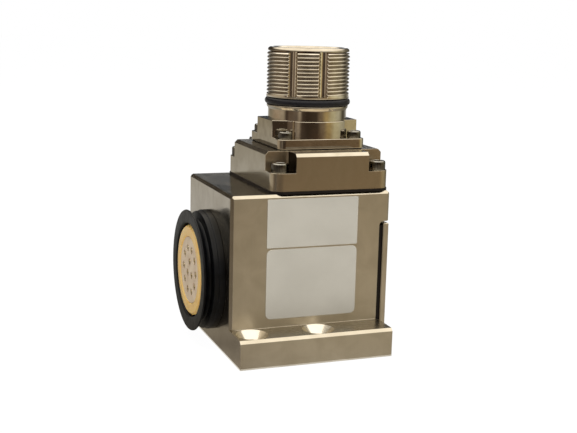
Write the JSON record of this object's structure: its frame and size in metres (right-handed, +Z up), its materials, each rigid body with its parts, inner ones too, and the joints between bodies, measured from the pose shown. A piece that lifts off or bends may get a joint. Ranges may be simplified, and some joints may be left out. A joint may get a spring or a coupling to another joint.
{
  "type": "robot tool changer electrical module",
  "caption": "Nickel-plated housing with a sealed round contact block on one side, a threaded cable connector on top, a side cover and a drilled mounting ledge.",
  "frame": {"origin": "centre of the housing block's base face, on the base plane", "axes": "+Z up along the cable connector, the contact block faces -X, the mounting ledge stands out towards -Y"},
  "size_m": [0.0509, 0.0502, 0.0808],
  "materials": {
    "nickel_plate": "satin nickel plate on milled aluminium",
    "shell_nickel": "bright nickel plate on turned brass",
    "black_rubber": "matte moulded rubber",
    "amber_polymer": "turned amber polymer with a soft gloss",
    "insert_polymer": "pale moulded insulator",
    "insulator_polymer": "dark moulded insulator",
    "gold_contact": "gold plate, polished",
    "screw_steel": "turned stainless steel",
    "label_film": "satin metallised film",
    "wire_insulation": "smooth extruded insulation"
  },
  "bodies": {
    "root": {"housing": "nickel_plate", "cover_plate": "nickel_plate", "cover_gasket": "black_rubber", "cover_screws": "screw_steel", "contact_carrier": "amber_polymer", "carrier_o_ring": "black_rubber", "carrier_ring_nut": "nickel_plate", "contact_insert": "insert_polymer", "contact_pins": "gold_contact", "lip_seal": "black_rubber", "wire_loom": "wire_insulation", "adapter_block": "nickel_plate", "adapter_gasket": "black_rubber", "adapter_screws": "screw_steel", "connector_shell": "shell_nickel", "coupling_o_ring": "black_rubber", "flange_gasket": "black_rubber", "flange_screws": "screw_steel", "connector_insert": "insulator_polymer", "connector_pins": "gold_contact", "insert_retainer": "screw_steel", "upper_label": "label_film", "lower_label": "label_film"}
  },
  "joints": []
}
